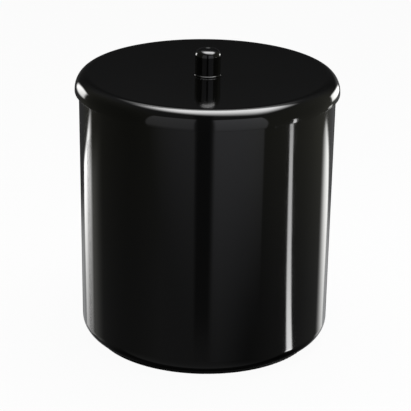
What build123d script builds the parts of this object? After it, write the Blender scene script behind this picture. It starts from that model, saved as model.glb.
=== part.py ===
"""Insulated ice bucket: a double-walled round tub with a lift-off, double-walled lid.

Millimetres, +Z up. The origin is the centre of the circle that the rubber feet stand on.
Everything is turned about the Z axis, apart from the feet and the screws. The lid's top is a shallow
dish with a small flat seat for the knob in its middle.
"""
from build123d import *
import os

os.makedirs("parts", exist_ok=True)

# ---- Driving dimensions: the silhouette -------------------------------------------------
lid_radius = 125.0             # widest point, at the lid's lower edge
lid_top = 263.4                # crest of the lid's top, at the edge of its dish
lid_dish = 2.4                 # how far the middle of the lid's top lies below the crest
lid_crest_radius = 111.8       # where the dish ends and the lid starts to roll over
lid_roll_z = 247.6             # where the rolled edge has become vertical
lid_edge_z = 246.3             # lower edge of the lid
lid_edge_radius = 0.2
wall_top_radius = 121.1        # outside of the tub, level with the lid's lower edge
wall_base_radius = 118.95      # outside of the tub, extended down to its underside
shell_base_z = 4.2             # underside of the tub's outer shell
shell_corner_radius = 15.6     # rounded bottom corner of the outer shell
foot_ring_radius = 106.2       # low ring that the base plate stands on
foot_ring_z = 0.6              # lower face of that ring
knob_radius = 12.0
knob_top = 286.2
knob_edge_radius = 6.5
knob_dimple_radius = 4.0       # shallow dimple in the middle of the knob's top
knob_dimple_depth = 0.8
collar_radius = 12.9           # thin trim ring under the knob
collar_thickness = 1.5
collar_edge_radius = 1.0

# ---- Driving dimensions: walls and clearances -------------------------------------------
shell_wall = 2.5
liner_wall = 2.1
lid_wall = 2.6
lid_liner_wall = 2.0
foam_gap = 0.3                 # play around each foam piece
fit_gap = 0.03                 # play of a screw or an insert in its hole
moulded_gap = 0.2              # play between two moulded plastic pieces
lid_seat_gap = 0.1             # the lid's gasket over the tub's rim
sharp_edge = 0.3               # rounding of an edge that only needs to be broken

# ---- Tub: levels and radii --------------------------------------------------------------
rim_z = 250.8                  # top of the liner's flange, which is the tub's rim
flange_thickness = 2.4
shell_top = rim_z - flange_thickness
wall_slope = (wall_top_radius - wall_base_radius) / (lid_edge_z - shell_base_z)
wall_rim_radius = wall_base_radius + wall_slope * (shell_top - shell_base_z)
shell_opening_radius = 95.7    # hole in the shell's bottom, closed by the base plate

liner_mouth_radius = 111.2     # inside of the liner at the rim
liner_floor_radius = 106.4     # inside of the liner, extended down to its floor
liner_floor_z = 20.7           # top of the liner's floor
liner_corner_radius = 14.0
liner_base_z = liner_floor_z - liner_wall
rim_edge_radius = 0.9
rim_root_radius = 1.2          # under the flange, where it meets the liner's wall
liner_rib_thickness = 1.4      # locating rib that drops inside the shell's wall
liner_rib_depth = 5.0

sleeve_top_gap = 1.0           # between the foam sleeve and the locating rib
base_foam_gap = 1.5            # around the foam disc, inside the shell's opening
foam_edge_radius = 1.0

# ---- Lid: levels and radii --------------------------------------------------------------
lid_under_z = lid_top - lid_wall              # under the crest
seat_z = lid_top - lid_dish                   # flat seat of the knob, in the middle of the dish
seat_radius = 14.0
seat_under_z = seat_z - lid_wall
skirt_radius = lid_radius - lid_wall          # inside of the lid's skirt
weld_rib_inner = 111.0         # ring rib that the lid liner is welded to
plug_radius = 109.6            # locating plug that drops into the liner's mouth
plug_base_z = 241.2
plug_draft = 0.4
tray_flange_radius = 119.9     # flange of the lid liner, inside the cover
tray_flange_gap = 1.0          # over the tub's rim
tray_flange_z = rim_z + tray_flange_gap
tray_flange_thickness = 2.8
tray_top = tray_flange_z + tray_flange_thickness
plug_corner_radius = 3.0
tray_corner_radius = 1.0
tray_edge_radius = 0.5
gasket_inner = 113.7
gasket_outer = 117.3
gasket_thickness = 2.2
gasket_edge_radius = 0.5
gasket_top_gap = 0.1           # under the roof of the gasket's groove
washer_pocket_gap = 2.5        # around the washer, in the lid's foam disc
washer_pocket_depth = 6.5

# ---- Fasteners and feet -----------------------------------------------------------------
knob_screw_radius = 2.5        # M5
knob_screw_length = 14.0
knob_screw_head_radius = 4.75
knob_screw_head_height = 3.2
knob_screw_head_edge = 1.5
knob_screw_hole_gap = 0.25     # around the screw in the lid and the collar
washer_radius = 7.5
washer_thickness = 1.2
washer_hole_gap = 0.2
washer_chamfer = 0.2
insert_radius = 3.5
insert_length = 11.6
insert_recess = 0.4
insert_end_gap = 0.2           # over the insert in the knob
insert_end_wall = 1.2          # closed end of the insert's thread
insert_waists = (0.35, 0.65)   # positions of the waists, as shares of the insert's length
insert_waist_depth = 0.4
insert_waist_height = 0.8

base_screw_radius = 1.75       # 3.5 mm self-tapping screw
base_screw_length = 12.0
base_screw_count = 4
base_screw_circle = 99.5
base_screw_head_radius = 3.4
base_screw_tip = 2.0           # length of the pointed end
base_screw_sunk = 0.4          # how far the head lies above the foot ring's face
base_screw_hole_gap = 0.15
base_screw_sink_gap = 0.4
boss_radius = 3.6
boss_top = 15.5
boss_roof = 1.0                # closed end of a boss, over its screw
cross_recess = (4.0, 0.8, 1.0)      # length, width and depth of the base screws' cross recess
knob_cross_recess = (5.0, 1.0, 1.8)  # the same for the knob's screw

foot_count = 4
foot_circle = 98.3
foot_first_angle = 45.0
foot_radius = 6.0
foot_thickness = 2.2
foot_edge_radius = 0.4
foot_pocket_depth = foot_thickness - foot_ring_z
foot_ring_inner_radius = 90.0
foot_ring_slope = 2.0          # how far the ring's inner side leans in
foot_ring_root_radius = 1.5
foot_ring_edge_radius = 0.8
spigot_gap = 0.3               # around the base plate, in the shell's opening
spigot_edge_radius = 0.5


# ---- Outer shell: gloss tub with a drafted wall, open at the bottom ---------------------
with BuildPart() as outer_shell:
    with BuildSketch(Plane.XZ):
        with BuildLine():
            FilletPolyline(
                (shell_opening_radius, shell_base_z),
                (wall_base_radius, shell_base_z),
                (wall_rim_radius, shell_top),
                (wall_rim_radius - shell_wall, shell_top),
                (wall_base_radius - shell_wall, shell_base_z + shell_wall),
                (shell_opening_radius, shell_base_z + shell_wall),
                radius=[0, shell_corner_radius, sharp_edge, sharp_edge,
                        shell_corner_radius - shell_wall, sharp_edge],
                close=True,
            )
        make_face()
    revolve(axis=Axis.Z)
    # screw bosses stand on the bottom lip
    with BuildSketch(Plane.XY.offset(shell_base_z + shell_wall / 2)):
        with PolarLocations(base_screw_circle, base_screw_count):
            Circle(boss_radius)
    extrude(amount=boss_top - shell_base_z - shell_wall / 2)
    with BuildSketch(Plane.XY.offset(shell_base_z)):
        with PolarLocations(base_screw_circle, base_screw_count):
            Circle(base_screw_radius + fit_gap)
    extrude(amount=boss_top - shell_base_z - boss_roof, mode=Mode.SUBTRACT)
outer_shell.part.label = "outer_shell"
export_step(outer_shell.part, "parts/outer_shell.step")


# ---- Inner liner: the ice cavity, with a flange that caps the shell ---------------------
with BuildPart() as inner_liner:
    with BuildSketch(Plane.XZ):
        with BuildLine():
            FilletPolyline(
                (0, liner_floor_z),
                (liner_floor_radius, liner_floor_z),
                (liner_mouth_radius, rim_z),
                (wall_rim_radius, rim_z),
                (wall_rim_radius, shell_top),
                (liner_mouth_radius + liner_wall, shell_top),
                (liner_floor_radius + liner_wall, liner_base_z),
                (0, liner_base_z),
                radius=[0, liner_corner_radius, rim_edge_radius, rim_edge_radius, sharp_edge,
                        rim_root_radius, liner_corner_radius + liner_wall, 0],
                close=True,
            )
        make_face()
    revolve(axis=Axis.Z)
    # locating rib that drops inside the shell's wall
    liner_rib_radius = wall_rim_radius - shell_wall - moulded_gap
    with BuildSketch(Plane.XY.offset(shell_top - liner_rib_depth)):
        Circle(liner_rib_radius)
        Circle(liner_rib_radius - liner_rib_thickness, mode=Mode.SUBTRACT)
    extrude(amount=liner_rib_depth + flange_thickness / 2)
inner_liner.part.label = "inner_liner"
export_step(inner_liner.part, "parts/inner_liner.step")


# ---- Insulation sleeve: expanded foam between the liner and the shell -------------------
sleeve_base_z = liner_base_z + liner_corner_radius
sleeve_top_z = shell_top - liner_rib_depth - sleeve_top_gap
liner_slope = (liner_mouth_radius - liner_floor_radius) / (rim_z - liner_floor_z)


def shell_inside(z):
    """Inside radius of the outer shell's wall at height z."""
    return wall_base_radius + wall_slope * (z - shell_base_z) - shell_wall


def liner_outside(z):
    """Outside radius of the inner liner's wall at height z."""
    return liner_floor_radius + liner_slope * (z - liner_floor_z) + liner_wall


with BuildPart() as insulation_sleeve:
    with BuildSketch(Plane.XZ):
        with BuildLine():
            FilletPolyline(
                (liner_outside(sleeve_base_z) + foam_gap, sleeve_base_z),
                (shell_inside(sleeve_base_z) - foam_gap, sleeve_base_z),
                (shell_inside(sleeve_top_z) - foam_gap, sleeve_top_z),
                (liner_outside(sleeve_top_z) + foam_gap, sleeve_top_z),
                radius=foam_edge_radius,
                close=True,
            )
        make_face()
    revolve(axis=Axis.Z)
insulation_sleeve.part.label = "insulation_sleeve"
export_step(insulation_sleeve.part, "parts/insulation_sleeve.step")


# ---- Insulation base: foam disc under the liner's floor ---------------------------------
with BuildPart() as insulation_base:
    with BuildSketch(Plane.XZ):
        with BuildLine():
            FilletPolyline(
                (0, shell_base_z + shell_wall + foam_gap),
                (shell_opening_radius - base_foam_gap, shell_base_z + shell_wall + foam_gap),
                (shell_opening_radius - base_foam_gap, liner_base_z - foam_gap),
                (0, liner_base_z - foam_gap),
                radius=[0, foam_edge_radius, foam_edge_radius, 0],
                close=True,
            )
        make_face()
    revolve(axis=Axis.Z)
insulation_base.part.label = "insulation_base"
export_step(insulation_base.part, "parts/insulation_base.step")


# ---- Base plate: closes the shell's bottom and carries the foot ring --------------------
spigot_radius = shell_opening_radius - spigot_gap
with BuildPart() as base_plate:
    with BuildSketch(Plane.XZ):
        with BuildLine():
            FilletPolyline(
                (0, shell_base_z),
                (foot_ring_inner_radius - foot_ring_slope, shell_base_z),
                (foot_ring_inner_radius, foot_ring_z),
                (foot_ring_radius, foot_ring_z),
                (foot_ring_radius, shell_base_z),
                (spigot_radius, shell_base_z),
                (spigot_radius, shell_base_z + shell_wall),
                (0, shell_base_z + shell_wall),
                radius=[0, foot_ring_root_radius, foot_ring_edge_radius, foot_ring_edge_radius, sharp_edge, 0,
                        spigot_edge_radius, 0],
                close=True,
            )
        make_face()
    revolve(axis=Axis.Z)
    # pockets for the rubber feet
    with BuildSketch(Plane.XY.offset(foot_ring_z)):
        with PolarLocations(foot_circle, foot_count, start_angle=foot_first_angle):
            Circle(foot_radius + moulded_gap)
    extrude(amount=foot_pocket_depth, mode=Mode.SUBTRACT)
    # countersunk holes for the base screws, opening downwards
    with Locations(Location((0, 0, foot_ring_z), (180, 0, 0))):
        with PolarLocations(base_screw_circle, base_screw_count):
            CounterSinkHole(
                base_screw_radius + base_screw_hole_gap,
                base_screw_head_radius + base_screw_sink_gap,
                depth=shell_base_z,
                counter_sink_angle=90,
            )
base_plate.part.label = "base_plate"
export_step(base_plate.part, "parts/base_plate.step")


# ---- Base screws: countersunk, cross-recessed -------------------------------------------
head_z = foot_ring_z + base_screw_sunk
cross_length, cross_width, cross_depth = cross_recess
with BuildPart() as one_screw:
    with BuildSketch(Plane.XZ):
        with BuildLine():
            Polyline(
                (0, head_z),
                (base_screw_head_radius, head_z),
                (base_screw_radius, head_z + base_screw_head_radius - base_screw_radius),
                (base_screw_radius, head_z + base_screw_length - base_screw_tip),
                (0, head_z + base_screw_length),
                close=True,
            )
        make_face()
    revolve(axis=Axis.Z)
    with Locations((0, 0, head_z)):
        Box(cross_length, cross_width, 2 * cross_depth, mode=Mode.SUBTRACT)
        Box(cross_width, cross_length, 2 * cross_depth, mode=Mode.SUBTRACT)

with BuildPart() as base_screws:
    with PolarLocations(base_screw_circle, base_screw_count):
        add(one_screw.part)
base_screws.part.label = "base_screws"
export_step(base_screws.part, "parts/base_screws.step")


# ---- Rubber feet: four pads pressed into the foot ring ----------------------------------
foot_step = 360.0 / foot_count
for number in range(foot_count):
    angle = foot_first_angle + number * foot_step
    with BuildPart() as rubber_foot:
        with BuildSketch(Plane.XY):
            with PolarLocations(foot_circle, 1, start_angle=angle):
                Circle(foot_radius)
        extrude(amount=foot_thickness)
        fillet(rubber_foot.faces().sort_by(Axis.Z)[0].edges(), radius=foot_edge_radius)
    rubber_foot.part.label = f"rubber_foot_{number + 1}"
    export_step(rubber_foot.part, f"parts/rubber_foot_{number + 1}.step")


# ---- Lid cover: dished top that rolls over into a short skirt ----------------------------
screw_hole_radius = knob_screw_radius + knob_screw_hole_gap
with BuildPart() as lid_cover:
    with BuildSketch(Plane.XZ):
        with BuildLine():
            Line((screw_hole_radius, seat_z), (seat_radius, seat_z))
            TangentArc((seat_radius, seat_z), (lid_crest_radius, lid_top), tangent=(1, 0))
            EllipticalCenterArc(
                (lid_crest_radius, lid_roll_z),
                lid_radius - lid_crest_radius,
                lid_top - lid_roll_z,
                start_angle=0,
                arc_size=90,
            )
            Polyline(
                (lid_radius, lid_roll_z),
                (lid_radius, lid_edge_z),
                (skirt_radius, lid_edge_z),
                (skirt_radius, lid_roll_z),
            )
            EllipticalCenterArc(
                (lid_crest_radius, lid_roll_z),
                skirt_radius - lid_crest_radius,
                lid_under_z - lid_roll_z,
                start_angle=0,
                arc_size=90,
            )
            TangentArc((seat_radius, seat_under_z), (lid_crest_radius, lid_under_z), tangent=(1, 0))
            Polyline(
                (seat_radius, seat_under_z),
                (screw_hole_radius, seat_under_z),
                (screw_hole_radius, seat_z),
            )
        make_face()
    revolve(axis=Axis.Z)
    fillet(lid_cover.edges().group_by(Axis.Z)[0].sort_by(SortBy.RADIUS)[-1], radius=lid_edge_radius)
    # ring rib that the lid liner is welded to
    with BuildSketch(Plane.XY.offset(tray_top)):
        Circle(weld_rib_inner + lid_liner_wall)
        Circle(weld_rib_inner, mode=Mode.SUBTRACT)
    extrude(amount=lid_under_z + lid_wall / 2 - tray_top)
lid_cover.part.label = "lid_cover"
export_step(lid_cover.part, "parts/lid_cover.step")


# ---- Lid liner: tray with the locating plug, closes the lid from below ------------------
with BuildPart() as lid_liner:
    with BuildSketch(Plane.XZ):
        with BuildLine():
            FilletPolyline(
                (0, plug_base_z),
                (plug_radius - plug_draft, plug_base_z),
                (plug_radius, tray_flange_z),
                (tray_flange_radius, tray_flange_z),
                (tray_flange_radius, tray_top),
                (plug_radius - lid_liner_wall, tray_top),
                (plug_radius - plug_draft - lid_liner_wall, plug_base_z + lid_liner_wall),
                (0, plug_base_z + lid_liner_wall),
                radius=[0, plug_corner_radius, tray_edge_radius, tray_edge_radius, tray_edge_radius,
                        tray_edge_radius, tray_corner_radius, 0],
                close=True,
            )
        make_face()
    revolve(axis=Axis.Z)
    # groove for the gasket
    with BuildSketch(Plane.XY.offset(tray_flange_z)):
        Circle(gasket_outer + moulded_gap)
        Circle(gasket_inner - moulded_gap, mode=Mode.SUBTRACT)
    extrude(amount=gasket_thickness - tray_flange_gap + lid_seat_gap + gasket_top_gap, mode=Mode.SUBTRACT)
lid_liner.part.label = "lid_liner"
export_step(lid_liner.part, "parts/lid_liner.step")


# ---- Lid gasket: soft ring that seats on the tub's rim ----------------------------------
with BuildPart() as lid_gasket:
    with BuildSketch(Plane.XY.offset(rim_z + lid_seat_gap)):
        Circle(gasket_outer)
        Circle(gasket_inner, mode=Mode.SUBTRACT)
    extrude(amount=gasket_thickness)
    fillet(lid_gasket.faces().sort_by(Axis.Z)[0].edges(), radius=gasket_edge_radius)
lid_gasket.part.label = "lid_gasket"
export_step(lid_gasket.part, "parts/lid_gasket.step")


# ---- Lid insulation: foam disc under the dished cover, hollowed over the knob screw ------
foam_base_z = plug_base_z + lid_liner_wall + foam_gap
foam_seat_z = seat_under_z - foam_gap
foam_radius = plug_radius - plug_draft - lid_liner_wall - foam_gap
dish_run = lid_crest_radius - seat_radius
dish_radius = (dish_run ** 2 + lid_dish ** 2) / (2 * lid_dish)
foam_rim_z = foam_seat_z + dish_radius - (dish_radius ** 2 - (foam_radius - seat_radius) ** 2) ** 0.5
pocket_radius = washer_radius + washer_pocket_gap
pocket_floor_z = foam_seat_z - washer_pocket_depth
with BuildPart() as lid_insulation:
    with BuildSketch(Plane.XZ) as foam_section:
        with BuildLine():
            TangentArc((seat_radius, foam_seat_z), (foam_radius, foam_rim_z), tangent=(1, 0))
            Polyline(
                (foam_radius, foam_rim_z),
                (foam_radius, foam_base_z),
                (0, foam_base_z),
                (0, pocket_floor_z),
                (pocket_radius, pocket_floor_z),
                (pocket_radius, foam_seat_z),
                (seat_radius, foam_seat_z),
            )
        make_face()
        fillet(foam_section.vertices().group_by(Axis.X)[-1], radius=foam_edge_radius)
    revolve(axis=Axis.Z)
lid_insulation.part.label = "lid_insulation"
export_step(lid_insulation.part, "parts/lid_insulation.step")


# ---- Knob collar: thin trim ring between the knob and the lid ---------------------------
with BuildPart() as knob_collar:
    with BuildSketch(Plane.XY.offset(seat_z)):
        Circle(collar_radius)
        Circle(screw_hole_radius, mode=Mode.SUBTRACT)
    extrude(amount=collar_thickness)
    fillet(knob_collar.edges().group_by(Axis.Z)[-1].sort_by(SortBy.RADIUS)[-1], radius=collar_edge_radius)
knob_collar.part.label = "knob_collar"
export_step(knob_collar.part, "parts/knob_collar.step")


# ---- Knob: solid plastic cylinder with a rounded top edge and a dimple in its top --------
knob_base = seat_z + collar_thickness
insert_bore_radius = insert_radius + fit_gap
insert_bore_top = knob_base + insert_recess + insert_length + insert_end_gap
dimple_ball_radius = (knob_dimple_radius ** 2 + knob_dimple_depth ** 2) / (2 * knob_dimple_depth)
with BuildPart() as knob:
    with BuildSketch(Plane.XZ):
        with BuildLine():
            FilletPolyline(
                (insert_bore_radius, knob_base),
                (knob_radius, knob_base),
                (knob_radius, knob_top),
                (0, knob_top),
                (0, insert_bore_top),
                (insert_bore_radius, insert_bore_top),
                radius=[0, sharp_edge, knob_edge_radius, 0, 0, 0],
                close=True,
            )
        make_face()
    revolve(axis=Axis.Z)
    with Locations((0, 0, knob_top - knob_dimple_depth + dimple_ball_radius)):
        Sphere(dimple_ball_radius, mode=Mode.SUBTRACT)
    dimple_rim = knob.edges().filter_by(GeomType.CIRCLE).group_by(Axis.Z)[-1].sort_by(SortBy.RADIUS)[0]
    fillet(dimple_rim, radius=sharp_edge)
knob.part.label = "knob"
export_step(knob.part, "parts/knob.step")


# ---- Knob insert: flanged brass thread in the knob ---------------------------------------
insert_base = knob_base + insert_recess
with BuildPart() as knob_insert:
    with BuildSketch(Plane.XY.offset(insert_base)):
        Circle(insert_radius)
    extrude(amount=insert_length)
    # two waists that the knob's plastic would shrink into
    for share in insert_waists:
        with BuildSketch(Plane.XY.offset(insert_base + share * insert_length)):
            Circle(2 * insert_radius)
            Circle(insert_radius - insert_waist_depth, mode=Mode.SUBTRACT)
        extrude(amount=insert_waist_height, mode=Mode.SUBTRACT)
    with BuildSketch(Plane.XY.offset(insert_base)):
        Circle(knob_screw_radius + fit_gap)
    extrude(amount=insert_length - insert_end_wall, mode=Mode.SUBTRACT)
knob_insert.part.label = "knob_insert"
export_step(knob_insert.part, "parts/knob_insert.step")


# ---- Knob washer: spreads the screw's pull under the lid cover ---------------------------
with BuildPart() as knob_washer:
    with BuildSketch(Plane.XY.offset(seat_under_z - washer_thickness)):
        Circle(washer_radius)
        Circle(knob_screw_radius + washer_hole_gap, mode=Mode.SUBTRACT)
    extrude(amount=washer_thickness)
    chamfer(knob_washer.edges().group_by(Axis.Z)[0].sort_by(SortBy.RADIUS)[-1], length=washer_chamfer)
knob_washer.part.label = "knob_washer"
export_step(knob_washer.part, "parts/knob_washer.step")


# ---- Knob screw: pan-head M5, driven from inside the lid ---------------------------------
screw_seat = seat_under_z - washer_thickness
screw_head_z = screw_seat - knob_screw_head_height
cross_length, cross_width, cross_depth = knob_cross_recess
with BuildPart() as knob_screw:
    with BuildSketch(Plane.XZ):
        with BuildLine():
            FilletPolyline(
                (0, screw_head_z),
                (knob_screw_head_radius, screw_head_z),
                (knob_screw_head_radius, screw_seat),
                (knob_screw_radius, screw_seat),
                (knob_screw_radius, screw_seat + knob_screw_length),
                (0, screw_seat + knob_screw_length),
                radius=[0, knob_screw_head_edge, sharp_edge, 0, sharp_edge, 0],
                close=True,
            )
        make_face()
    revolve(axis=Axis.Z)
    with Locations((0, 0, screw_head_z)):
        Box(cross_length, cross_width, 2 * cross_depth, mode=Mode.SUBTRACT)
        Box(cross_width, cross_length, 2 * cross_depth, mode=Mode.SUBTRACT)
knob_screw.part.label = "knob_screw"
export_step(knob_screw.part, "parts/knob_screw.step")
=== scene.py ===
"""Looks of the insulated ice bucket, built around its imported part.

Metres, +Z up, in the part's own frame: the origin is the centre of the circle that its feet
stand on. The shell, the liner, both halves of the lid, the knob and its collar are made again as
fine lathe meshes from the same sizes. The foam, the base plate, the feet, the gasket and the
fasteners keep their own meshes and get materials.
"""
import math

import bpy
from mathutils import Matrix, Vector


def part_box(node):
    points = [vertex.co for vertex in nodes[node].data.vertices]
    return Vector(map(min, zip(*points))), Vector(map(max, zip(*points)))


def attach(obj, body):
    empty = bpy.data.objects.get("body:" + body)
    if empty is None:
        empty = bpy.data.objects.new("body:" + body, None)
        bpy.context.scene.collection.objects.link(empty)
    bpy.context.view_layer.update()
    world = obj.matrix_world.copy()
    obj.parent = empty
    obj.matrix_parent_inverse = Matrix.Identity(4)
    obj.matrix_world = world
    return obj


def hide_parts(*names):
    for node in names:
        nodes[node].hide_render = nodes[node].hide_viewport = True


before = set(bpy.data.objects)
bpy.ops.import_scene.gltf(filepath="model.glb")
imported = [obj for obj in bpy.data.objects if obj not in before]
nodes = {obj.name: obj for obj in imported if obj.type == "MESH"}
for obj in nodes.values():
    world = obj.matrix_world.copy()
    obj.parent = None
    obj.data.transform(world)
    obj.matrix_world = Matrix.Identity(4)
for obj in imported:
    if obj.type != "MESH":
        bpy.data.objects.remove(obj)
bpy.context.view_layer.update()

mm = 0.001


# ---- Sizes: read from the frame where a node's box gives them, else as in the part -------
def low(node):
    """Height of a node's lowest point."""
    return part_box(node)[0].z


def high(node):
    """Height of a node's highest point."""
    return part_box(node)[1].z


def reach(node):
    """Largest radius of a node that is turned about Z."""
    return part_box(node)[1].x


shell_base_z = low("outer_shell")
shell_top_z = high("outer_shell")
wall_rim_radius = reach("outer_shell")
wall_base_radius = 118.95 * mm
shell_opening_radius = 95.7 * mm
shell_corner = 15.6 * mm
shell_rim_edge = 0.4 * mm
shell_wall = 2.5 * mm

rim_z = high("inner_liner")
liner_base_z = low("inner_liner")
liner_wall = 2.1 * mm
liner_mouth_radius = 111.2 * mm
liner_floor_radius = 106.4 * mm
liner_corner = 14.0 * mm
rim_edge = 0.9 * mm
rim_root = 1.2 * mm                              # where the flange meets the liner's wall
rib_gap = 0.2 * mm
rib_thickness = 1.4 * mm
rib_depth = 5.0 * mm

lid_radius = reach("lid_cover")
lid_top_z = high("lid_cover")
lid_edge_z = low("lid_cover")
skirt_height = 1.3 * mm                          # from the lid's edge up to its roll
lid_roll_z = lid_edge_z + skirt_height
lid_crest_radius = 111.8 * mm
seat_z = low("knob_collar")                      # flat seat of the knob, amid the dished top
seat_radius = 14.0 * mm
lid_wall = 2.6 * mm
lid_hole_radius = 2.75 * mm
weld_rib_radius = 111.0 * mm
tray_radius = reach("lid_liner")
tray_top_z = high("lid_liner")
tray_flange = 2.8 * mm
tray_wall = 2.0 * mm
tray_edge = 0.5 * mm
tray_inner_corner = 1.0 * mm
plug_base_z = low("lid_liner")
plug_radius = 109.6 * mm
plug_draft = 0.4 * mm
plug_corner = 3.0 * mm
groove_inner = 113.5 * mm
groove_outer = 117.5 * mm
groove_depth = 1.4 * mm

knob_radius = reach("knob")
knob_base_z = low("knob")
knob_top_z = high("knob")
knob_edge = 6.5 * mm
knob_base_edge = 0.3 * mm
dimple_radius = 4.0 * mm
dimple_depth = 0.8 * mm
insert_bore_radius = 3.53 * mm
insert_bore_depth = 12.2 * mm
collar_radius = reach("knob_collar")
collar_edge = 1.0 * mm

boss_circle = 99.5 * mm
boss_radius = 3.6 * mm
boss_bore = 1.78 * mm
boss_top_z = 15.5 * mm
boss_count = 4

edge = 0.2 * mm                                  # a moulded part's sharpest edge


# ---- Lathe meshes ------------------------------------------------------------------------
SEGMENTS = 256
LID_SEGMENTS = 512
KNOB_SEGMENTS = 128
BOSS_SEGMENTS = 32
ARC_STEP = math.radians(6)
FEWEST_ARC_STEPS = 3
ROLL_STEPS = 36
DISH_STEPS = 48
DIMPLE_STEPS = 12


def rounded(corners):
    """Closed outline through (r, z, radius) corners, anticlockwise, each rounded by its radius."""
    points = []
    for index, (r, z, radius) in enumerate(corners):
        here = Vector((r, z))
        back = Vector(corners[index - 1][:2]) - here
        ahead = Vector(corners[(index + 1) % len(corners)][:2]) - here
        if radius == 0:
            points.append(here)
            continue
        half = back.angle(ahead) / 2
        start = here + back.normalized() * radius / math.tan(half)
        inwards = (back.normalized() + ahead.normalized()).normalized()
        centre = here + inwards * radius / math.sin(half)
        turn = math.copysign(math.pi - 2 * half, ahead.cross(back))
        steps = max(FEWEST_ARC_STEPS, math.ceil(abs(turn) / ARC_STEP))
        for step in range(steps + 1):
            points.append(centre + Matrix.Rotation(turn * step / steps, 2) @ (start - centre))
    return points


def quarter_ellipse(centre, across, up, outwards):
    """Corners along a quarter ellipse from its outermost to its highest point, both left out.

    They are in the other order if outwards is set.
    """
    angles = [math.pi / 2 * step / ROLL_STEPS for step in range(1, ROLL_STEPS)]
    if outwards:
        angles.reverse()
    return [(centre[0] + across * math.cos(a), centre[1] + up * math.sin(a), 0) for a in angles]


def level_arc(start, end, steps):
    """Corners along an arc that leaves start level and ends at end, both left out."""
    run, rise = end[0] - start[0], end[1] - start[1]
    radius = (run ** 2 + rise ** 2) / (2 * rise)
    corners = []
    for step in range(1, steps):
        a = math.asin(run / radius) * step / steps
        corners.append((start[0] + radius * math.sin(a), start[1] + radius * (1 - math.cos(a)), 0))
    return corners


class Lathe:
    """A mesh of solids turned about vertical axes, with exact normals for clean reflections."""

    def __init__(self):
        self.vertices = []
        self.normals = []
        self.faces = []

    def turn(self, outline, centre=(0.0, 0.0), segments=SEGMENTS):
        """Adds the solid that a closed anticlockwise outline of (r, z) points sweeps."""
        rings = []
        for index, point in enumerate(outline):
            ahead = outline[(index + 1) % len(outline)]
            along = ahead - outline[index - 1]
            side = Vector((along.y, -along.x)).normalized()
            first = len(self.vertices)
            if point.x == 0:
                self.vertices.append((centre[0], centre[1], point.y))
                self.normals.append((0, 0, -1 if ahead.x > point.x else 1))
                rings.append([first] * (segments + 1))
                continue
            for segment in range(segments):
                angle = math.tau * segment / segments
                c, s = math.cos(angle), math.sin(angle)
                self.vertices.append((centre[0] + point.x * c, centre[1] + point.x * s, point.y))
                self.normals.append((side.x * c, side.x * s, side.y))
            rings.append([*range(first, first + segments), first])
        for ring, above in zip(rings, rings[1:] + rings[:1]):
            for segment in range(segments):
                corners = [ring[segment], ring[segment + 1], above[segment + 1], above[segment]]
                face = list(dict.fromkeys(corners))
                if len(face) > 2:
                    self.faces.append(face)

    def piece(self, name, body, node, material):
        """Ends the mesh as an object that stands for a CAD node and rides on a body."""
        mesh = bpy.data.meshes.new(name)
        mesh.from_pydata(self.vertices, [], self.faces)
        mesh.polygons.foreach_set("use_smooth", [True] * len(mesh.polygons))
        mesh.normals_split_custom_set_from_vertices(self.normals)
        mesh.materials.append(material)
        obj = bpy.data.objects.new(name, mesh)
        bpy.context.scene.collection.objects.link(obj)
        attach(obj, body)
        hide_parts(node)


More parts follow.
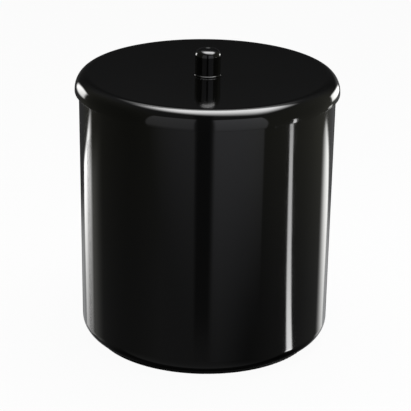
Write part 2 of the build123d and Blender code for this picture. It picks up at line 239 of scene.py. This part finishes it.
# ---- Node helpers ------------------------------------------------------------------------
class Nodes:
    """Short calls for building one node tree."""

    def __init__(self, owner):
        owner.use_nodes = True
        self.tree = owner.node_tree
        self.tree.nodes.clear()

    def add(self, kind, inputs=(), **settings):
        """Adds a node, sets its properties, then sets or links its inputs by name or number."""
        node = self.tree.nodes.new(kind)
        for key, value in settings.items():
            setattr(node, key, value)
        for key, value in dict(inputs).items():
            if isinstance(value, bpy.types.NodeSocket):
                self.tree.links.new(value, node.inputs[key])
            else:
                node.inputs[key].default_value = value
        return node

    def maths(self, operation, *values):
        """Result of a Math node."""
        return self.add("ShaderNodeMath", enumerate(values), operation=operation).outputs[0]

    def chained(self, operation, values):
        """Result of a Math node for each value after the first, one after the other."""
        result, *others = values
        for value in others:
            result = self.maths(operation, result, value)
        return result

    def total(self, *values):
        """All the values added up."""
        return self.chained("ADD", values)

    def product(self, *values):
        """All the values multiplied together."""
        return self.chained("MULTIPLY", values)

    def greatest(self, *values):
        """The largest of the values."""
        return self.chained("MAXIMUM", values)

    def remap(self, value, span, to, smooth=False):
        """value from span mapped to the numbers in to, clamped."""
        ends = {0: value, 1: span[0], 2: span[1], 3: to[0], 4: to[1]}
        kind = "SMOOTHSTEP" if smooth else "LINEAR"
        return self.add("ShaderNodeMapRange", ends, interpolation_type=kind).outputs[0]

    def noise(self, place, size, detail=2.0, roughness=0.5):
        """Noise, 0 to 1, whose blotches are about size metres across."""
        inputs = {"Vector": place, "Scale": 1 / size, "Detail": detail, "Roughness": roughness}
        return self.add("ShaderNodeTexNoise", inputs).outputs["Fac"]

    def cells(self, place, size, feature="F1"):
        """Distances in a Voronoi pattern of cells about size metres across."""
        inputs = {"Vector": place, "Scale": 1 / size}
        return self.add("ShaderNodeTexVoronoi", inputs, feature=feature).outputs["Distance"]

    def place(self):
        """Position in the part's frame, in metres."""
        return self.add("ShaderNodeTexCoord").outputs["Object"]

    def bumps(self, *layers):
        """Normal shaped by (height socket, depth in metres) layers."""
        normal = None
        for height, depth in layers:
            inputs = {"Height": height, "Distance": depth, "Strength": 1.0}
            if normal is not None:
                inputs["Normal"] = normal
            normal = self.add("ShaderNodeBump", inputs).outputs[0]
        return normal

    def mixed(self, share, first, second):
        """Colour between two colours."""
        node = self.add("ShaderNodeMix", {0: share}, data_type="RGBA")
        colours = [socket for socket in node.inputs if socket.type == "RGBA"]
        colours[0].default_value = (*first, 1)
        colours[1].default_value = (*second, 1)
        return next(socket for socket in node.outputs if socket.type == "RGBA")

    def surface(self, shader):
        """Ends the tree at the material output."""
        self.tree.links.new(shader, self.add("ShaderNodeOutputMaterial").inputs["Surface"])


def material(name):
    """A new material and the helper for its nodes."""
    made = bpy.data.materials.new(name)
    return made, Nodes(made)


# ---- Materials ---------------------------------------------------------------------------
def gloss_black():
    """Polished injection-moulded plastic, jet black, with the faint waviness of a moulded wall."""
    made, n = material("gloss_black_plastic")
    place = n.place()
    haze = n.noise(place, 35 * mm, detail=3)
    dust = n.noise(place, 0.6 * mm, detail=1)
    waves = n.noise(place, 45 * mm, detail=0)
    peel = n.noise(place, 2.5 * mm, detail=1)
    rough = n.total(n.remap(haze, (0.3, 0.7), (0.055, 0.08)), n.remap(dust, (0.6, 0.8), (0, 0.03)))
    n.surface(n.add("ShaderNodeBsdfPrincipled", {
        "Base Color": n.mixed(haze, (0.0002, 0.0002, 0.0002), (0.0004, 0.0004, 0.0004)),
        "Roughness": rough,
        "IOR": 1.5,
        "Normal": n.bumps((waves, 0.02 * mm), (peel, 0.0004 * mm)),
    }).outputs[0])
    return made


def satin_black(name, colour, rough, grain_size, grain_depth, shine):
    """Moulded plastic with a fine spark-eroded grain."""
    made, n = material(name)
    place = n.place()
    blotches = n.noise(place, 20 * mm, detail=3)
    grain = n.noise(place, grain_size, detail=2, roughness=0.6)
    darker = [c * 0.8 for c in colour]
    n.surface(n.add("ShaderNodeBsdfPrincipled", {
        "Base Color": n.mixed(blotches, darker, colour),
        "Roughness": n.remap(blotches, (0.3, 0.7), (rough - 0.04, rough + 0.04)),
        "IOR": 1.5,
        "Specular IOR Level": shine,
        "Normal": n.bumps((grain, grain_depth)),
    }).outputs[0])
    return made


def foam():
    """Expanded polystyrene: pressed beads with darker seams between them."""
    made, n = material("expanded_foam")
    place = n.place()
    bead_size = 3.2 * mm
    beads = n.cells(place, bead_size)
    seams = n.remap(n.cells(place, bead_size, feature="DISTANCE_TO_EDGE"), (0, 0.12), (0, 1))
    pores = n.noise(place, 0.5 * mm, detail=2)
    n.surface(n.add("ShaderNodeBsdfPrincipled", {
        "Base Color": n.mixed(seams, (0.70, 0.69, 0.65), (0.88, 0.88, 0.86)),
        "Roughness": n.remap(pores, (0.3, 0.7), (0.75, 0.9)),
        "Subsurface Weight": 0.15,
        "Subsurface Scale": 2 * mm,
        "Normal": n.bumps((n.remap(beads, (0, 1), (1, 0)), 0.5 * mm), (pores, 0.08 * mm)),
    }).outputs[0])
    return made


def rubber(name, colour, rough):
    """Soft moulded rubber with a powdery bloom."""
    made, n = material(name)
    place = n.place()
    bloom = n.noise(place, 4 * mm, detail=4)
    grain = n.noise(place, 0.25 * mm, detail=1)
    paler = [c * 1.6 for c in colour]
    n.surface(n.add("ShaderNodeBsdfPrincipled", {
        "Base Color": n.mixed(bloom, colour, paler),
        "Roughness": n.remap(bloom, (0.3, 0.7), (rough - 0.06, rough + 0.06)),
        "IOR": 1.48,
        "Sheen Weight": 0.1,
        "Sheen Roughness": 0.5,
        "Normal": n.bumps((grain, 0.02 * mm)),
    }).outputs[0])
    return made


def metal(name, colour, rough, streak):
    """Machined metal with fine turning marks stacked along Z and a few stains."""
    made, n = material(name)
    place = n.place()
    flattening = {0: place, 1: (0.2, 0.2, 4.0)}
    flattened = n.add("ShaderNodeVectorMath", flattening, operation="MULTIPLY").outputs[0]
    marks = n.noise(flattened, streak, detail=3)
    stains = n.noise(place, 3 * mm, detail=3)
    darker = [c * 0.82 for c in colour]
    n.surface(n.add("ShaderNodeBsdfPrincipled", {
        "Base Color": n.mixed(stains, darker, colour),
        "Metallic": 1.0,
        "Roughness": n.remap(marks, (0.3, 0.7), (rough - 0.08, rough + 0.08)),
        "Normal": n.bumps((marks, 0.015 * mm)),
    }).outputs[0])
    return made


gloss = gloss_black()
liner_finish = satin_black(
    "satin_liner_plastic", (0.006, 0.006, 0.006), rough=0.3,
    grain_size=0.5 * mm, grain_depth=0.004 * mm, shine=0.5,
)
# grained black plastic, set darker and less shiny than its own as painted shade: the contact shadow
# under the bucket, which the floor doesn't give
base_finish_with_painted_shade = satin_black(
    "grained_base_plastic_with_painted_shade", (0.003, 0.003, 0.003), rough=0.5,
    grain_size=0.35 * mm, grain_depth=0.03 * mm, shine=0.15,
)
foam_finish = foam()
foot_finish = rubber("foot_rubber", (0.012, 0.012, 0.012), rough=0.7)
gasket_finish = rubber("gasket_silicone", (0.03, 0.03, 0.031), rough=0.5)
steel_finish = metal("zinc_plated_steel", (0.62, 0.62, 0.63), rough=0.3, streak=0.4 * mm)
brass_finish = metal("turned_brass", (0.72, 0.55, 0.28), rough=0.28, streak=0.3 * mm)


# ---- Turned plastic pieces ---------------------------------------------------------------
def outer_shell():
    """Gloss tub: drafted wall, rounded bottom corner, open bottom, and bosses for the screws."""
    inside = shell_corner - shell_wall
    floor_z = shell_base_z + shell_wall
    lathe = Lathe()
    lathe.turn(rounded([
        (shell_opening_radius, shell_base_z, edge),
        (wall_base_radius, shell_base_z, shell_corner),
        (wall_rim_radius, shell_top_z, shell_rim_edge),
        (wall_rim_radius - shell_wall, shell_top_z, shell_rim_edge),
        (wall_base_radius - shell_wall, floor_z, inside),
        (shell_opening_radius, floor_z, edge),
    ]))
    boss_root_z = floor_z - shell_wall / 2
    boss = rounded([
        (boss_bore, boss_root_z, 0),
        (boss_radius, boss_root_z, 0),
        (boss_radius, boss_top_z, edge),
        (boss_bore, boss_top_z, edge),
    ])
    for number in range(boss_count):
        angle = math.tau * number / boss_count
        centre = (boss_circle * math.cos(angle), boss_circle * math.sin(angle))
        lathe.turn(boss, centre, segments=BOSS_SEGMENTS)
    lathe.piece("shell", "bucket", "outer_shell", gloss)


def inner_liner():
    """Liner of the ice cavity, whose flange caps the shell, and its locating rib."""
    floor_z = liner_base_z + liner_wall
    lathe = Lathe()
    lathe.turn(rounded([
        (0, liner_base_z, 0),
        (liner_floor_radius + liner_wall, liner_base_z, liner_corner + liner_wall),
        (liner_mouth_radius + liner_wall, shell_top_z, rim_root),
        (wall_rim_radius, shell_top_z, edge),
        (wall_rim_radius, rim_z, rim_edge),
        (liner_mouth_radius, rim_z, rim_edge),
        (liner_floor_radius, floor_z, liner_corner),
        (0, floor_z, 0),
    ]))
    rib_radius = wall_rim_radius - shell_wall - rib_gap
    rib_base_z = shell_top_z - rib_depth
    rib_root_z = (shell_top_z + rim_z) / 2
    lathe.turn(rounded([
        (rib_radius - rib_thickness, rib_base_z, edge),
        (rib_radius, rib_base_z, edge),
        (rib_radius, rib_root_z, edge),
        (rib_radius - rib_thickness, rib_root_z, edge),
    ]))
    lathe.piece("liner", "bucket", "inner_liner", liner_finish)


def lid_cover():
    """Gloss lid: dished top that rolls over into a short skirt, and a rib welded to its liner."""
    under_z = lid_top_z - lid_wall
    seat_under_z = seat_z - lid_wall
    skirt_radius = lid_radius - lid_wall
    roll = (lid_crest_radius, lid_roll_z)
    across, up = lid_radius - lid_crest_radius, lid_top_z - lid_roll_z
    top_roll = quarter_ellipse(roll, across, up, outwards=False)
    top_dish = level_arc((seat_radius, seat_z), (lid_crest_radius, lid_top_z), DISH_STEPS)
    across, up = skirt_radius - lid_crest_radius, under_z - lid_roll_z
    under_roll = quarter_ellipse(roll, across, up, outwards=True)
    under_dish = level_arc((seat_radius, seat_under_z), (lid_crest_radius, under_z), DISH_STEPS)
    lathe = Lathe()
    lathe.turn(rounded([
        (lid_hole_radius, seat_under_z, edge),
        (seat_radius, seat_under_z, 0),
        *under_dish,
        (lid_crest_radius, under_z, 0),
        *under_roll,
        (skirt_radius, lid_roll_z, 0),
        (skirt_radius, lid_edge_z, edge),
        (lid_radius, lid_edge_z, edge),
        (lid_radius, lid_roll_z, 0),
        *top_roll,
        (lid_crest_radius, lid_top_z, 0),
        *reversed(top_dish),
        (seat_radius, seat_z, 0),
        (lid_hole_radius, seat_z, edge),
    ]), segments=LID_SEGMENTS)
    weld_rib_root_z = under_z + lid_wall / 2
    lathe.turn(rounded([
        (weld_rib_radius, tray_top_z, edge),
        (weld_rib_radius + tray_wall, tray_top_z, edge),
        (weld_rib_radius + tray_wall, weld_rib_root_z, edge),
        (weld_rib_radius, weld_rib_root_z, edge),
    ]))
    lathe.piece("lid_top_cover", "lid", "lid_cover", gloss)


def lid_liner():
    """Tray that closes the lid from below, with the locating plug and the gasket's groove."""
    flange_z = tray_top_z - tray_flange
    lathe = Lathe()
    lathe.turn(rounded([
        (0, plug_base_z, 0),
        (plug_radius - plug_draft, plug_base_z, plug_corner),
        (plug_radius, flange_z, tray_edge),
        (groove_inner, flange_z, edge),
        (groove_inner, flange_z + groove_depth, edge),
        (groove_outer, flange_z + groove_depth, edge),
        (groove_outer, flange_z, edge),
        (tray_radius, flange_z, tray_edge),
        (tray_radius, tray_top_z, tray_edge),
        (plug_radius - tray_wall, tray_top_z, tray_edge),
        (plug_radius - plug_draft - tray_wall, plug_base_z + tray_wall, tray_inner_corner),
        (0, plug_base_z + tray_wall, 0),
    ]))
    lathe.piece("lid_tray", "lid", "lid_liner", liner_finish)


def knob():
    """Gloss knob: cylinder with a rounded top edge and a dimple, bored for its threaded insert."""
    bore_end_z = knob_base_z + insert_bore_depth
    dimple_floor_z = knob_top_z - dimple_depth
    dimple = level_arc((0, dimple_floor_z), (dimple_radius, knob_top_z), DIMPLE_STEPS)
    lathe = Lathe()
    lathe.turn(rounded([
        (insert_bore_radius, knob_base_z, edge),
        (knob_radius, knob_base_z, knob_base_edge),
        (knob_radius, knob_top_z, knob_edge),
        (dimple_radius, knob_top_z, edge),
        *reversed(dimple),
        (0, dimple_floor_z, 0),
        (0, bore_end_z, 0),
        (insert_bore_radius, bore_end_z, edge),
    ]), segments=KNOB_SEGMENTS)
    lathe.piece("knob_body", "lid", "knob", gloss)


def knob_collar():
    """Thin gloss ring between the knob and the lid."""
    lathe = Lathe()
    lathe.turn(rounded([
        (lid_hole_radius, seat_z, edge),
        (collar_radius, seat_z, edge),
        (collar_radius, knob_base_z, collar_edge),
        (lid_hole_radius, knob_base_z, edge),
    ]), segments=KNOB_SEGMENTS)
    lathe.piece("collar_ring", "lid", "knob_collar", gloss)


outer_shell()
inner_liner()
lid_cover()
lid_liner()
knob()
knob_collar()


# ---- Carried-over CAD nodes --------------------------------------------------------------
finishes = {
    "foam": foam_finish,
    "base_plastic": base_finish_with_painted_shade,
    "gasket": gasket_finish,
    "rubber": foot_finish,
    "steel": steel_finish,
    "brass": brass_finish,
}
for node in nodes.values():
    for holder in node.material_slots:
        if holder.material.name in finishes:
            holder.material = finishes[holder.material.name]


# ---- Studio: floor, surroundings and lights ----------------------------------------------
FLOOR_HALF = 40.0
FLOOR_GLOW = 0.957
BACKDROP_GLOW = 0.98
OVERHEAD_HEIGHT = 0.8
FRONT_DISTANCE = 1.6
REAR_DISTANCE = 1.5
LEFT_TINT = (1.0, 0.99, 0.98)
RIGHT_TINT = (1.0, 1.0, 0.98)


def placed(origin, along, away):
    """Frame of a board at origin: X along it, Z on its dark side."""
    along, away = Vector(along).normalized(), Vector(away).normalized()
    axes = Matrix((along, away.cross(along), away)).transposed().to_4x4()
    return Matrix.Translation(origin) @ axes


def upright(azimuth, distance):
    """Frame of a vertical board that faces the part: X along it, Y up.

    Azimuth 0 is the camera's side, 90 is +X and 180 is behind.
    """
    a = math.radians(azimuth)
    outwards = Vector((math.sin(a), -math.cos(a), 0))
    return placed(outwards * distance, (math.cos(a), math.sin(a), 0), outwards)


def board(name, where, corners, feather, radiance, tint=(1, 1, 1), bend=1.0):
    """Glowing board seen in reflections only, with soft edges.

    corners go round the board clockwise as (x, y) in its own frame. feather is the width over which
    each edge fades inwards, one for each side starting at each corner. radiance is (at lowest y, at
    highest y), and bend is the power of y that it follows in between.
    """
    mesh = bpy.data.meshes.new(name)
    mesh.from_pydata([(x, y, 0) for x, y in corners], [], [list(range(len(corners)))])
    obj = bpy.data.objects.new(name, mesh)
    obj.matrix_world = where
    bpy.context.scene.collection.objects.link(obj)
    obj.visible_camera = False
    obj.visible_shadow = False
    made, n = material(name)
    place = n.place()
    heights = [y for x, y in corners]
    height = n.add("ShaderNodeSeparateXYZ", {0: place}).outputs["Y"]
    share = n.maths("POWER", n.remap(height, (min(heights), max(heights)), (0, 1)), bend)
    strength = n.remap(share, (0, 1), radiance)
    for index, (x, y) in enumerate(corners):
        end = Vector(corners[(index + 1) % len(corners)])
        along = (end - Vector((x, y))).normalized()
        inwards = Vector((along.y, -along.x, 0))
        dot = n.add("ShaderNodeVectorMath", {0: place, 1: inwards}, operation="DOT_PRODUCT")
        start = inwards.x * x + inwards.y * y
        fade = n.remap(dot.outputs["Value"], (start, start + feather[index]), (0, 1), smooth=True)
        strength = n.product(strength, fade)
    facing = n.maths("SUBTRACT", 1.0, n.add("ShaderNodeNewGeometry").outputs["Backfacing"])
    strength = n.product(strength, facing)
    glow = n.add("ShaderNodeEmission", {"Color": (*tint, 1), "Strength": strength}).outputs[0]
    clear = n.add("ShaderNodeBsdfTransparent").outputs[0]
    n.surface(n.add("ShaderNodeAddShader", {0: glow, 1: clear}).outputs[0])
    mesh.materials.append(made)


def floor():
    """Plain pale floor, clear from below and left out of reflections."""
    mesh = bpy.data.meshes.new("floor")
    half = FLOOR_HALF
    corners = [(-half, -half, 0), (half, -half, 0), (half, half, 0), (-half, half, 0)]
    mesh.from_pydata(corners, [], [[0, 1, 2, 3]])
    obj = bpy.data.objects.new("floor", mesh)
    bpy.context.scene.collection.objects.link(obj)
    obj.visible_glossy = False
    obj.visible_diffuse = False
    obj.visible_shadow = False
    made, n = material("pale_floor")
    glow = n.add("ShaderNodeEmission", {"Strength": FLOOR_GLOW}).outputs[0]
    matt = n.add("ShaderNodeBsdfDiffuse", {"Color": (0.02, 0.02, 0.02, 1)}).outputs[0]
    pale = n.add("ShaderNodeAddShader", {0: glow, 1: matt}).outputs[0]
    clear = n.add("ShaderNodeBsdfTransparent").outputs[0]
    behind = n.add("ShaderNodeNewGeometry").outputs["Backfacing"]
    n.surface(n.add("ShaderNodeMixShader", {0: behind, 1: pale, 2: clear}).outputs[0])
    mesh.materials.append(made)


def surroundings():
    """A pale backdrop for the camera, and a dim room for reflections that goes by direction."""
    world = bpy.data.worlds.new("studio")
    bpy.context.scene.world = world
    n = Nodes(world)
    direction = n.add("ShaderNodeTexCoord").outputs["Generated"]
    x, y, z = n.add("ShaderNodeSeparateXYZ", {0: direction}).outputs
    aside = n.maths("ABSOLUTE", x)

    # the room: dimmer behind and on the left, lighter on the right but not low down
    walls = n.remap(y, (0.55, 0.9), (0.15, 0.034), smooth=True)
    left = n.remap(x, (-0.9, -0.6), (-0.055, 0))
    right = n.remap(x, (0.5, 0.85), (0, 0.05))
    lower_right = n.product(
        n.remap(x, (0.2, 0.6), (0, 1)),
        n.remap(z, (-0.41, -0.33), (-0.085, -0.01)),
    )
    # faint haze behind, at and below eye level, stronger on the right
    haze = n.product(
        n.remap(x, (0.1, 0.35), (0.025, 0.13), smooth=True),
        n.remap(z, (0.1, -0.1), (0, 1)),
        n.remap(y, (0.6, 0.8), (0, 1)),
    )
    # grey low behind the part, except straight behind
    grey = n.product(
        n.remap(y, (0.70, 0.82), (0, 1), smooth=True),
        n.remap(z, (-0.345, -0.38), (0, 0.47), smooth=True),
        n.remap(aside, (0.02, 0.10), (0, 1)),
    )
    room = n.total(walls, left, right, lower_right, haze, grey)

    # dark underfoot on the far side
    underfoot = n.greatest(
        n.remap(z, (-0.75, -0.45), (0.12, 1)),
        n.remap(y, (0.1, -0.1), (0, 1)),
    )
    # dark low straight behind
    behind = n.greatest(
        n.remap(z, (-0.34, -0.28), (0.12, 1)),
        n.remap(y, (0.5, 0.3), (0, 1)),
        n.remap(aside, (0.12, 0.30), (0, 1)),
    )
    # dark gap between the front panels, where the camera stands
    gap = n.product(
        n.remap(x, (-0.17, -0.12), (0, 1), smooth=True),
        n.remap(x, (0.09, 0.04), (0, 1), smooth=True),
        n.remap(y, (-0.3, -0.4), (0, 1)),
        n.remap(z, (-0.440, -0.424), (0, 0.08), smooth=True),
    )
    room = n.maths("SUBTRACT", n.product(room, underfoot, behind), gap)

    # yellower to the sides, but not low down
    sideways = n.product(
        n.remap(aside, (0.4, 0.8), (0, 1), smooth=True),
        n.remap(z, (-0.41, -0.33), (0.2, 1)),
    )
    tint = n.mixed(sideways, (0.98, 0.99, 1.0), (1.0, 1.0, 0.84))
    seen = n.add("ShaderNodeLightPath").outputs["Is Camera Ray"]
    white = (1, 1, 1, 1)
    backdrop = n.add("ShaderNodeBackground", {"Color": white, "Strength": BACKDROP_GLOW})
    mirrored = n.add("ShaderNodeBackground", {"Color": tint, "Strength": room})
    shaders = {0: seen, 1: mirrored.outputs[0], 2: backdrop.outputs[0]}
    both = n.add("ShaderNodeMixShader", shaders).outputs[0]
    n.tree.links.new(both, n.add("ShaderNodeOutputWorld").inputs["Surface"])


floor()
surroundings()

# the crescent of light on the lid's front roll, and its faint tail
overhead = placed((0, 0, OVERHEAD_HEIGHT), (1, 0, 0), (0, 0, 1))
board(
    "overhead_softbox", overhead,
    corners=[(-0.38, 0.28), (0.54, 0.28), (0.54, -0.40), (-0.05, -0.40), (-0.38, -0.08)],
    feather=[0.16, 0.28, 0.42, 0.20, 0.30],
    radiance=(13.4, 13.4),
)
board(
    "overhead_tail", overhead,
    corners=[(-0.38, 0.56), (0.45, 0.56), (0.45, 0.10), (-0.38, 0.10)],
    feather=[0.3, 0.5, 0.1, 0.2],
    radiance=(2.6, 2.6),
)

# the two wide dim panels on the wall, with the dark gap between them
front = upright(0, FRONT_DISTANCE)
board(
    "front_left_panel", front,
    corners=[(-2.05, -0.70), (-2.05, 2.15), (-0.26, 1.62), (-0.26, -0.70)],
    feather=[0.15, 0.12, 0.05, 0.75],
    radiance=(0.30, 0.55),
    tint=(0.96, 0.96, 1.0),
)
board(
    "front_right_panel", front,
    corners=[(0.12, -0.80), (0.12, 1.5), (2.02, 2.0), (2.02, -1.10)],
    feather=[0.1, 0.12, 0.1, 0.75],
    radiance=(0.38, 0.88),
    tint=(0.93, 0.94, 1.0),
)

# on the left: the highlight on the lid's roll, the bright strip down the wall, and its halo
rear_left = upright(-138, REAR_DISTANCE)
board(
    "rear_left_softbox", rear_left,
    corners=[
        (0.45, 0.06), (0.12, -0.04), (-0.38, -0.04), (-0.38, 0.12),
        (-0.17, 0.44), (0.08, 0.63), (0.45, 0.63),
    ],
    feather=[0.16] * 7,
    radiance=(2.6, 8.2),
    tint=LEFT_TINT,
)
board(
    "rear_left_low", rear_left,
    corners=[
        (0.46, -0.92), (-0.12, -0.92), (-0.23, -0.45),
        (-0.14, -0.33), (0.36, -0.238), (0.46, -0.25),
    ],
    feather=[0.1, 0.12, 0.06, 0.03, 0.02, 0.26],
    radiance=(0.8, 7.3),
    tint=LEFT_TINT,
    bend=2.8,
)
board(
    "rear_left_halo", rear_left,
    corners=[(1.0, -1.2), (0.1, -1.2), (0.1, -0.30), (1.0, -0.30)],
    feather=[0.3, 0.3, 0.1, 0.7],
    radiance=(0.3, 0.3),
    tint=(1.0, 1.0, 0.92),
)

# on the right: the highlights on the lid's roll and at its edge, and the bright strip down the wall
rear_right = upright(140, REAR_DISTANCE)
board(
    "rear_right_softbox", rear_right,
    corners=[
        (0.45, -0.10), (0.0, -0.10), (-0.34, -0.02), (-0.36, 0.45),
        (-0.25, 0.50), (0.15, 0.33), (0.45, 0.06),
    ],
    feather=[0.14, 0.14, 0.06, 0.14, 0.14, 0.14, 0.14],
    radiance=(4.8, 6.4),
    tint=RIGHT_TINT,
)
board(
    "rear_right_patch", rear_right,
    corners=[(-0.17, -0.24), (-0.48, -0.24), (-0.48, -0.10), (-0.17, -0.10)],
    feather=[0.04, 0.1, 0.08, 0.1],
    radiance=(3.0, 3.0),
    tint=RIGHT_TINT,
)
board(
    "rear_right_low", rear_right,
    corners=[
        (0.22, -0.92), (-0.29, -0.92), (-0.48, -0.295), (-0.31, -0.25),
        (-0.17, -0.25), (0.08, -0.30), (0.26, -0.41),
    ],
    feather=[0.1, 0.36, 0.03, 0.02, 0.04, 0.08, 0.16],
    radiance=(0.95, 4.4),
    tint=RIGHT_TINT,
    bend=2.0,
)

# the thin line down the right of the wall, and its far end, which only the lid's roll mirrors
side_tube = placed((0.275, -0.075, -0.123), (0.213, 0.977, 0), (0, 0, -1))
board(
    "side_tube", side_tube,
    corners=[(-0.026, 0.0), (-0.105, 3.6), (0.105, 3.6), (0.026, 0.0)],
    feather=[0.014, 0.1, 0.014, 0.01],
    radiance=(15.3, 1.2),
    bend=0.33,
)
board(
    "side_tube_far", side_tube,
    corners=[(-0.043, 0.87), (-0.105, 3.6), (0.105, 3.6), (0.043, 0.87)],
    feather=[0.014, 0.6, 0.014, 0.06],
    radiance=(7.0, 7.0),
)


# ---- Camera ------------------------------------------------------------------------------
def camera():
    """Product view with a long lens: looks along +Y and about 21 degrees down onto the lid."""
    pitch = math.radians(20.735)
    roll = 0.0145
    distance = 1.875
    target = Vector((-0.00025, 0, 0.1294))
    forward = Vector((0, math.cos(pitch), -math.sin(pitch)))
    level = Vector((1, 0, 0))
    upwards = level.cross(forward)
    right = math.cos(roll) * level + math.sin(roll) * upwards
    top = right.cross(forward)
    axes = Matrix((right, top, -forward)).transposed().to_4x4()
    data = bpy.data.cameras.new("camera")
    data.sensor_width = 36.0
    data.lens = 170.4
    data.clip_start = 0.05
    data.clip_end = 200.0
    obj = bpy.data.objects.new("camera", data)
    obj.matrix_world = Matrix.Translation(target - forward * distance) @ axes
    bpy.context.scene.collection.objects.link(obj)
    bpy.context.scene.camera = obj


camera()
bpy.context.scene.view_settings.view_transform = "Standard"
